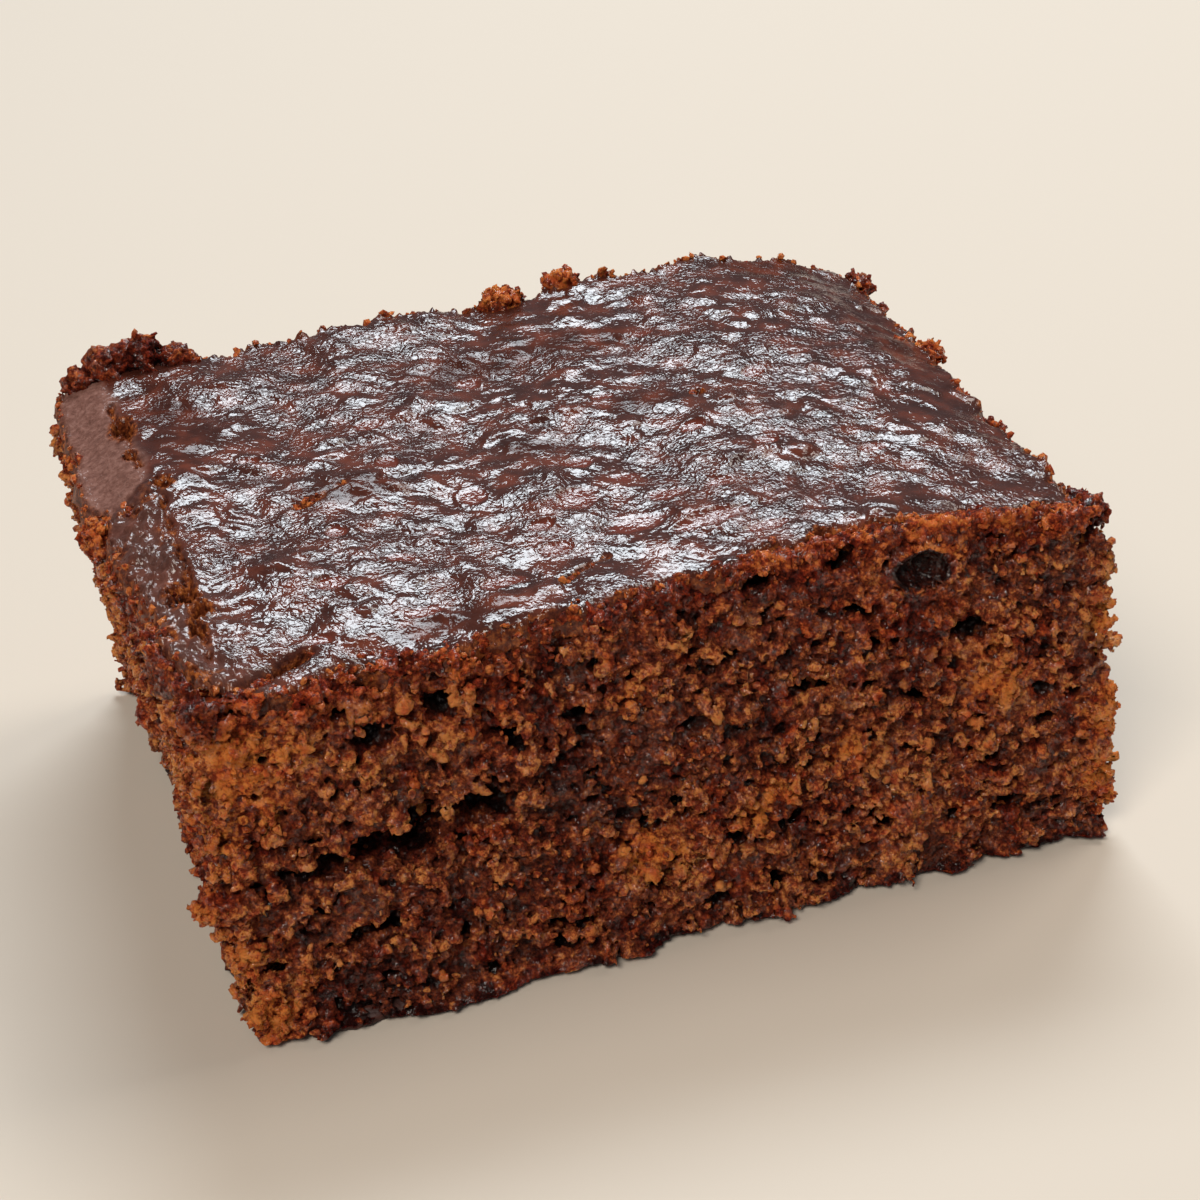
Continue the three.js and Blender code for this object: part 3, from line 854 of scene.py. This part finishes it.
def toffee_plan():
    """The plan of the skin: a grid over the sponge's top, drawn in along each edge by that edge's tear, and
    further at its front corners and where the front rim is bare. Gives x, y, and how far each point was
    from the front, left, back and right edges."""
    plan, s, t = outline_patch(SKIN_COLUMNS, SKIN_ROWS, 1.0)
    x, y = plan[..., 0], plan[..., 1]
    from_front, from_back = t[:, None] * DEPTH, (1 - t[:, None]) * DEPTH
    from_left, from_right = s[None] * LENGTH, (1 - s[None]) * LENGTH
    bare_front = 1.5 * smooth((x - 3) / 4) * smooth((36 - x) / 3) + bump(x, -26, 2.2) + 0.7 * bump(x, -2, 5)
    corner = 0.9 * bump(np.hypot(x - 37, y + 26), 0, 4.5) + 1.5 * bump(np.hypot(x + 38, y + 27), 0, 4.0)
    whole = 1 - 0.85 * smooth((y - MATT_STRIP[1]) / 2)
    torn_y = y + (tear(x, 201) + bare_front + corner) * smooth(1 - from_front / 6)
    torn_y -= tear(x, 211) * smooth(1 - from_back / 6)
    torn_x = x + (tear(y, 221) * whole + corner) * smooth(1 - from_left / 6)
    torn_x -= (tear(y, 231) + corner) * smooth(1 - from_right / 6)
    return torn_x, torn_y, from_front, from_left, from_back, from_right


def toffee_relief(x, y, glazed, rough, crumbly):
    """How high the skin stands: long swells, blisters and short wrinkles where it is glazed, over places
    bent by noise, a faint grain where it is matt, and lumps and nubs where it is crumbly. Gives the nubs as
    well."""
    matt = 1 - glazed
    bend_x = x + 0.8 * flat_noise(x, y, 2.2, 243) + 0.3 * flat_noise(x, y, 0.8, 254)
    bend_y = y + 0.8 * flat_noise(x, y, 2.2, 244) + 0.3 * flat_noise(x, y, 0.8, 255) + 0.15 * x
    blister_gap, blister, _ = clumps(flat_places(bend_x, bend_y, (3.0, 2.4), 0.4), 256)
    nub_gap, nub, _ = clumps(flat_places(bend_x, bend_y, 0.95, 0.3), 271)
    nubs = nub * smooth(nub_gap / 0.35)
    height = 0.32 * glazed * flat_noise(bend_x, bend_y, (4.6, 4.0), 245)
    height += glazed * (0.04 + 0.28 * blister) * smooth(blister_gap / 0.75)
    height += 0.2 * glazed * flat_noise(bend_x, bend_y, (2.1, 1.7), 246)
    height += 0.035 * rough * (0.35 - np.abs(flat_noise(bend_x, bend_y, (0.9, 0.8), 247)))
    height += (0.01 + 0.02 * rough + 0.03 * matt) * flat_noise(bend_x, bend_y, (0.5, 0.45), 248)
    height += matt * (0.08 * flat_noise(x, y, 1.3, 253) + 0.04 * flat_noise(x, y, 0.45, 264))
    height += crumbly * (0.5 * flat_noise(x, y, 1.3, 258) + 0.3 * flat_noise(x, y, 0.6, 261))
    height += 0.55 * crumbly * nubs
    return height, nubs


def toffee_surface():
    """The toffee skin: its torn plan at the height of the top, with its relief, its pools, pits and cracks,
    and its border turned down into the crumb. Gives its points, how far each was from the border, and the
    values that the material reads."""
    x, y, from_front, from_left, from_back, from_right = toffee_plan()
    rim_gap = np.minimum(np.minimum(from_front, from_back), np.minimum(from_left, from_right))
    strip_edge = -34.4 - 7 * smooth((6 - y) / 4) + 0.9 * flat_noise(x, y, 3, 241)
    crumbly = bump(x, -36.8, 3.0) * smooth((6 - y) / 4)
    crumbly = np.maximum(crumbly, 0.9 * bump(np.hypot(x + 35.5, y + 25), 0, 4.2))
    glazed = smooth((x - strip_edge) / 1.2) * (1 - 0.35 * crumbly)
    rough = (0.35 + 0.65 * smooth(0.6 + 1.5 * flat_noise(x, y, (5, 4), 242))) * glazed
    height, nubs = toffee_relief(x, y, glazed, rough, crumbly)
    pool = np.zeros_like(x)
    for gap in spot_gaps(x, y, POOLS, (0.35, 1.5, 249), (0.18, 0.6, 257)):
        pool = np.maximum(pool, smooth(2.2 * (1.1 - gap)))
        height = height * (1 - 0.7 * smooth(1.6 * (1.2 - gap))) - 0.1 * smooth(2 * (1.1 - gap))
        height += 0.07 * bump(gap, 1.15, 0.11)
    dull = np.zeros_like(x)
    for gap in spot_gaps(x, y, DULL, (0.5, (2.4, 2.0), 281)):
        dull = np.maximum(dull, 0.75 * smooth(1.6 * (1.15 - gap)))
    torn = crumbly * smooth(2.5 * flat_noise(x, y, 1.2, 262) - 0.6)
    for gap in spot_gaps(x, y, PITS, (0.4, 0.8, 251), (0.25, 0.4, 263)):
        height -= 1.8 * smooth(1.6 * (1.1 - gap))
        torn = np.maximum(torn, smooth(2.5 * (1.5 - gap)))
    for number, (start, end, width, deep) in enumerate(CRACKS):
        depth = crack_depth(x, y, start, end, width, deep, 260 + 3 * number)
        height -= depth
        torn = np.maximum(torn, smooth(depth / deep / 0.5))
    border_gap = rim_gap + 0.25 * flat_noise(x, y, 0.6, 252)
    torn = np.maximum(torn, smooth((0.8 - border_gap) / 0.5) * (0.6 + 0.4 * smooth((x - 2) / 4)))
    height += smooth(1.3 - rim_gap) * (0.45 * flat_noise(x, y, 0.5, 259) + 0.6 * (nubs - 0.25))
    height -= 1.5 * smooth((0.4 - rim_gap) / 0.4)
    height += 0.12 * torn * flat_noise(x, y, 0.45, 250)
    seen_gap = np.minimum(from_front, np.minimum(from_left, from_right))
    level = top_level(x, y) - 0.45 * smooth(1 - (seen_gap + 0.3) / 1.4)
    level += 0.8 * bump(x, -12, 16) * smooth((y - 12) / 14)
    level -= 1.7 * smooth(1.1 - np.hypot(x - WORN_CORNER[0], y - WORN_CORNER[1]) / 6)
    points = np.stack([x, y, level + height], axis=-1).reshape(-1, 3)
    looks = {"glazed": glazed, "rough": rough, "pool": pool, "torn": torn, "dull": dull}
    return points, rim_gap.ravel(), {name: value.ravel() for name, value in looks.items()}


def grid_faces(numbers):
    """Two triangles for each cell of a grid of point numbers."""
    low_left, low_right = numbers[:-1, :-1].ravel(), numbers[:-1, 1:].ravel()
    top_left, top_right = numbers[1:, :-1].ravel(), numbers[1:, 1:].ravel()
    first = np.stack([low_left, low_right, top_right], axis=1)
    second = np.stack([low_left, top_right, top_left], axis=1)
    return np.concatenate([first, second])


def toffee_material():
    """Baked toffee: very dark brown and glossy under a clear wet coat, redder in its pools, matt and
    greyer where it ran thin, and plain crumb where it is torn."""
    material, tree, shader = new_material("baked_toffee")
    glazed, rough, pool, torn, dull = kept_values(tree, "glazed", "rough", "pool", "torn", "dull")
    mottle = speckle(tree, 420, 5)
    crumbs = speckle(tree, 1700, 5, 0.65)
    wrinkles = speckle(tree, 2300, 1, distortion=0.8)
    matt = add_node(tree, "Math", {0: 1, 1: glazed}, operation="SUBTRACT").outputs[0]
    dry = greater(tree, matt, torn)
    brown = shades(tree, mottle, [
        (0.3, (0.032, 0.0085, 0.0055)), (0.5, (0.060, 0.0155, 0.0095)), (0.68, (0.125, 0.028, 0.014)),
    ])
    dusty = shades(tree, crumbs, [
        (0.36, (0.13, 0.058, 0.045)), (0.5, (0.18, 0.084, 0.066)), (0.62, (0.23, 0.116, 0.094)),
    ])
    orange = shades(tree, crumbs, [
        (0.36, (0.03, 0.006, 0.003)), (0.5, (0.15, 0.032, 0.011)), (0.63, (0.42, 0.12, 0.028)),
    ])
    colour = lay_over(tree, matt, brown, dusty)
    colour = lay_over(tree, pool, colour, (0.13, 0.024, 0.012, 1))
    colour = lay_over(tree, torn, colour, orange)
    wrinkled = raised(tree, wrinkles, rescale(tree, greater(tree, rough, dry), 0.2, 1.0), 0.00013)
    grit = times_plus(tree, matt, 0.3, torn, clamp=True)
    fill_inputs(tree, shader, {
        "Base Color": colour,
        "Roughness": rescale(tree, dry, 0.5, 0.6),
        "Normal": raised(tree, crumbs, grit, 0.0006, wrinkled),
        "Coat Weight": rescale(tree, greater(tree, dry, dull), 1.0, 0.2),
        "Coat Normal": wrinkled,
        "Coat Roughness": 0.11,
        "Specular IOR Level": 0.02,
    })
    return material


skin_points, skin_inset, skin_looks = toffee_surface()
make_piece(
    "toffee_skin", skin_points, grid_faces(np.arange(SKIN_ROWS * SKIN_COLUMNS).reshape(SKIN_ROWS, -1)),
    (0, 0, HEIGHT - 6), toffee_material(), "toffee_skin", **skin_looks,
)


# ---------------------------------------------------------------- the loose grains of crumb
# Grains that the knife tore loose and that stuck where they lay, on the cut faces and along the rims:
# thousands of small angular pieces, each with twenty faces.

GRAIN_COUNT = 7000


def twenty_faces():
    """The twelve corners of a regular solid with twenty faces, and its faces, turned outwards: the corners
    are those of three crossed rectangles, one by the golden ratio, and a face is any three that touch."""
    golden = (1 + 5**0.5) / 2
    corners = np.array([
        np.roll((0, one, other * golden), turn) for turn in range(3) for one in (-1, 1) for other in (-1, 1)
    ])
    near = np.linalg.norm(corners[:, None] - corners[None], axis=-1) < 2.1
    faces = []
    for a, b, c in np.argwhere(near[:, :, None] & near[None] & near[:, None, :]):
        if a < b < c:
            turns_out = np.dot(np.cross(corners[b] - corners[a], corners[c] - corners[a]), corners[a]) > 0
            faces.append((a, b, c) if turns_out else (a, c, b))
    return corners / np.linalg.norm(corners[0]), np.array(faces)


def grain_surfaces(seats, directions, weight):
    """The grains: each is the twenty-faced solid with its corners moved in and out by chance, stretched,
    turned any way, and set half sunk at one of the seats, which are chosen by their weight. Gives the
    points, the faces and the seat of each grain."""
    chance = np.random.default_rng(8)
    at = chance.choice(len(seats), GRAIN_COUNT, replace=False, p=weight / weight.sum())
    corners, faces = twenty_faces()
    size = mix(0.12, 0.5, chance.random(GRAIN_COUNT) ** 2)
    reach = chance.uniform(0.72, 1.3, (GRAIN_COUNT, 12, 1)) * size[:, None, None]
    shape = corners * reach * chance.uniform(0.45, 1.3, (GRAIN_COUNT, 1, 3))
    turn, _ = np.linalg.qr(chance.normal(size=(GRAIN_COUNT, 3, 3)))
    turn *= np.sign(np.linalg.det(turn))[:, None, None]
    centre = seats[at] + directions[at] * (size * chance.uniform(-0.4, 0.25, GRAIN_COUNT))[:, None]
    points = np.einsum("nij,nkj->nki", turn, shape) + centre[:, None]
    numbers = faces[None] + 12 * np.arange(GRAIN_COUNT)[:, None, None]
    return points.reshape(-1, 3), numbers.reshape(-1, 3), at


# They sit in clumps on the open crumb, most on its bright places and along its rim, and on the torn skin,
# most on the middle of the front rim, but not down in the pits of the left edge.
clumped = smooth(1.6 * noise(crumb_points / 1.8, 151) + 0.3) ** 2 + warm
rim = 1.5 * bump(under_skin, 0.6, 0.8) * (0.5 + 0.5 * smooth((crumb_points[:, 0] + 6) / 8))
under_strip = (crumb_points[:, 0] < MATT_STRIP[0]) & (crumb_points[:, 1] > MATT_STRIP[1]) & (under_skin < 4)
open_place = (closeness < 0.62) & (crumb_points[:, 2] > 0.8) & (date_gap > 1.15) & ~under_strip
left_pits = (skin_points[:, 0] <= -32) & (skin_inset >= 1)
torn_skin = np.flatnonzero((skin_looks["torn"] > 0.3) & (skin_inset > 0.15) & ~left_pits)
seats = np.concatenate([crumb_points, skin_points[torn_skin]])
directions = np.concatenate([direction, np.tile([0.0, 0.0, 1.0], (len(torn_skin), 1))])
front_rim = bump(skin_points[torn_skin, 0], -1, 8) * (skin_points[torn_skin, 1] < -20)
weight = np.concatenate([(0.05 + clumped + rim) * open_place, 5 + 7 * front_rim])
grain_points, grain_faces, sits_on = grain_surfaces(seats, directions, weight)
own_tone = -0.38 + 0.38 * np.random.default_rng(9).random(GRAIN_COUNT)
seat_warm = np.append(warm, np.full(len(torn_skin), 0.5))
seat_soak = np.append(soak, np.full(len(torn_skin), 0.4))
crumb_grains = make_piece(
    "crumb_grains", grain_points, grain_faces, np.empty((0, 3)), CRUMB, "sponge",
    tone=np.repeat(own_tone + 0.12 * seat_warm[sits_on], 12), soak=np.repeat(0.8 * seat_soak[sits_on], 12),
    warm=np.repeat(seat_warm[sits_on], 12), hollow=np.zeros(12 * GRAIN_COUNT),
    moist=np.zeros(12 * GRAIN_COUNT),
)
crumb_grains.data.polygons.foreach_set("use_smooth", np.zeros(len(grain_faces), dtype=bool))


# ---------------------------------------------------------------- the base crust
# Where the batter lay on the lined tin it baked into a thin dark crust, a little wider than the sponge
# above it, with a pebbled underside.

BASE_COLUMNS = 250
BASE_ROWS = 180
# The rows of the lip: how far each stands out from the underside's border, and its height.
BASE_LIP = ((0.2, 0.12), (0.35, 0.35), (0.3, 0.6), (0.1, 0.85), (-0.8, 1.0))


def base_surface():
    """The base crust: a grid over the foot's outline for the underside, pebbled upwards from the table,
    and a ring of rows from its border that go out to a worn lip, up, and back into the sponge."""
    plan, s, t = outline_patch(BASE_COLUMNS, BASE_ROWS, 0.0)
    x, y = plan[..., 0], plan[..., 1]
    pull = 0.8 + sum(1.2 * bump(np.hypot(x - at_x, y - at_y), 0, 3.5) for at_x, at_y in FOOT_CORNERS)
    left, front = s[None] * LENGTH, t[:, None] * DEPTH
    x = x + pull * (smooth(1 - left / 8) - smooth(1 - (LENGTH - left) / 8))
    y = y + pull * (smooth(1 - front / 8) - smooth(1 - (DEPTH - front) / 8))
    pebbles = 0.12 * np.abs(flat_noise(x, y, (2.4, 2.0), 301)) + 0.1 * np.abs(flat_noise(x, y, 0.9, 302))
    underside = np.stack([x, y, pebbles], axis=-1)
    numbers = np.arange(BASE_COLUMNS * BASE_ROWS).reshape(BASE_ROWS, BASE_COLUMNS)
    loop = np.concatenate([numbers[0, :-1], numbers[:-1, -1], numbers[-1, :0:-1], numbers[:0:-1, 0]])
    points = [underside.reshape(-1, 3)]
    faces = [grid_faces(numbers)[:, ::-1]]
    border = points[0][loop]
    ahead = np.roll(border, -1, axis=0) - np.roll(border, 1, axis=0)
    out = np.stack([ahead[:, 1], -ahead[:, 0]], axis=1)
    out /= np.linalg.norm(out, axis=1, keepdims=True)
    lip = 0.6 * smooth((border[:, 0] + 18) / -10) * smooth((-border[:, 1] - 16) / 8)
    below = loop
    for step, (outwards, height) in enumerate(BASE_LIP):
        worn = 0.25 * flat_noise(border[:, 0], border[:, 1], 1.3, 310 + step)
        worn += 0.22 * flat_noise(border[:, 0], border[:, 1], 0.5, 320 + step)
        row = np.empty_like(border)
        row[:, :2] = border[:, :2] + out * (lip + outwards + worn)[:, None]
        row[:, 2] = height + 0.3 * worn
        above = sum(map(len, points)) + np.arange(len(loop))
        points.append(row)
        quads = np.stack([below, np.roll(below, -1), np.roll(above, -1), above], axis=1)
        faces += [quads[:, [0, 1, 2]], quads[:, [0, 2, 3]]]
        below = above
    return np.concatenate(points), np.concatenate(faces)


def base_material():
    """Baked base crust: dark matt brown, mottled, with paler spots, and gritty."""
    material, tree, shader = new_material("base_crust")
    mottle = speckle(tree, 700, 6)
    fill_inputs(tree, shader, {
        "Base Color": shades(tree, mottle, [
            (0.3, (0.012, 0.003, 0.002)), (0.5, (0.036, 0.008, 0.005)), (0.7, (0.09, 0.020, 0.011)),
        ]),
        "Roughness": 0.6,
        "Normal": raised(tree, mottle, 0.9, 0.0005),
    })
    return material


base_points, base_faces = base_surface()
make_piece("base_crust", base_points, base_faces, (0, 0, 1.3), base_material(), "base_crust")


# ---------------------------------------------------------------- the light, the floor and the camera
# A plain pale floor, a large cool window behind, a soft key from the back right and a wide warm fill.

floor_mesh = bpy.data.meshes.new("floor")
floor_mesh.from_pydata([(-2, -2, 0), (2, -2, 0), (2, 2, 0), (-2, 2, 0)], [], [(0, 1, 2, 3)])
floor = bpy.data.objects.new("floor", floor_mesh)
bpy.context.scene.collection.objects.link(floor)
floor_material, floor_tree, floor_shader = new_material("pale_floor")
fill_inputs(floor_tree, floor_shader, {"Base Color": (0.60, 0.53, 0.45, 1), "Roughness": 0.7})
floor_mesh.materials.append(floor_material)


def area_light(name, azimuth, elevation, distance, width, height, power, colour):
    """A soft box aimed at the sponge from an azimuth, 0 from behind and 90 from the right, and an elevation,
    both in degrees."""
    turn, lift = np.radians(azimuth), np.radians(elevation)
    direction = np.array([np.sin(turn) * np.cos(lift), np.cos(turn) * np.cos(lift), np.sin(lift)])
    lamp = bpy.data.lights.new(name, "AREA")
    lamp.shape = "RECTANGLE"
    lamp.size = width
    lamp.size_y = height
    lamp.energy = power
    lamp.color = colour
    light = bpy.data.objects.new(name, lamp)
    light.location = direction * distance
    light.rotation_euler = (np.pi / 2 - lift, 0, np.pi - turn)
    bpy.context.scene.collection.objects.link(light)


area_light("window", 22, 52, 1.0, 0.5, 0.3, 7.4, (0.86, 0.94, 1.0))
area_light("key", 75, 55, 0.9, 0.35, 0.35, 2.6, (1.0, 0.95, 0.88))
area_light("fill", 222, 48, 1.2, 0.5, 0.4, 10, (1.0, 0.93, 0.84))

world = bpy.data.worlds.new("room")
world.use_nodes = True
world.node_tree.nodes["Background"].inputs["Color"].default_value = (0.75, 0.8, 0.88, 1)
world.node_tree.nodes["Background"].inputs["Strength"].default_value = 0.14
bpy.context.scene.world = world

YAW, PITCH, ROLL = np.radians([19.965, 30.187, -1.14])
camera_data = bpy.data.cameras.new("camera")
camera_data.lens = 76.23
camera_data.sensor_width = 36
camera = bpy.data.objects.new("camera", camera_data)
camera.location = (np.array([-62.385, -178.496, 126.718]) - MIDDLE) * MM
aim = Matrix.Rotation(-YAW, 3, "Z") @ Matrix.Rotation(np.pi / 2 - PITCH, 3, "X")
camera.rotation_euler = (aim @ Matrix.Rotation(ROLL, 3, "Z")).to_euler()
bpy.context.scene.collection.objects.link(camera)
bpy.context.scene.camera = camera
bpy.context.scene.view_settings.view_transform = "Standard"
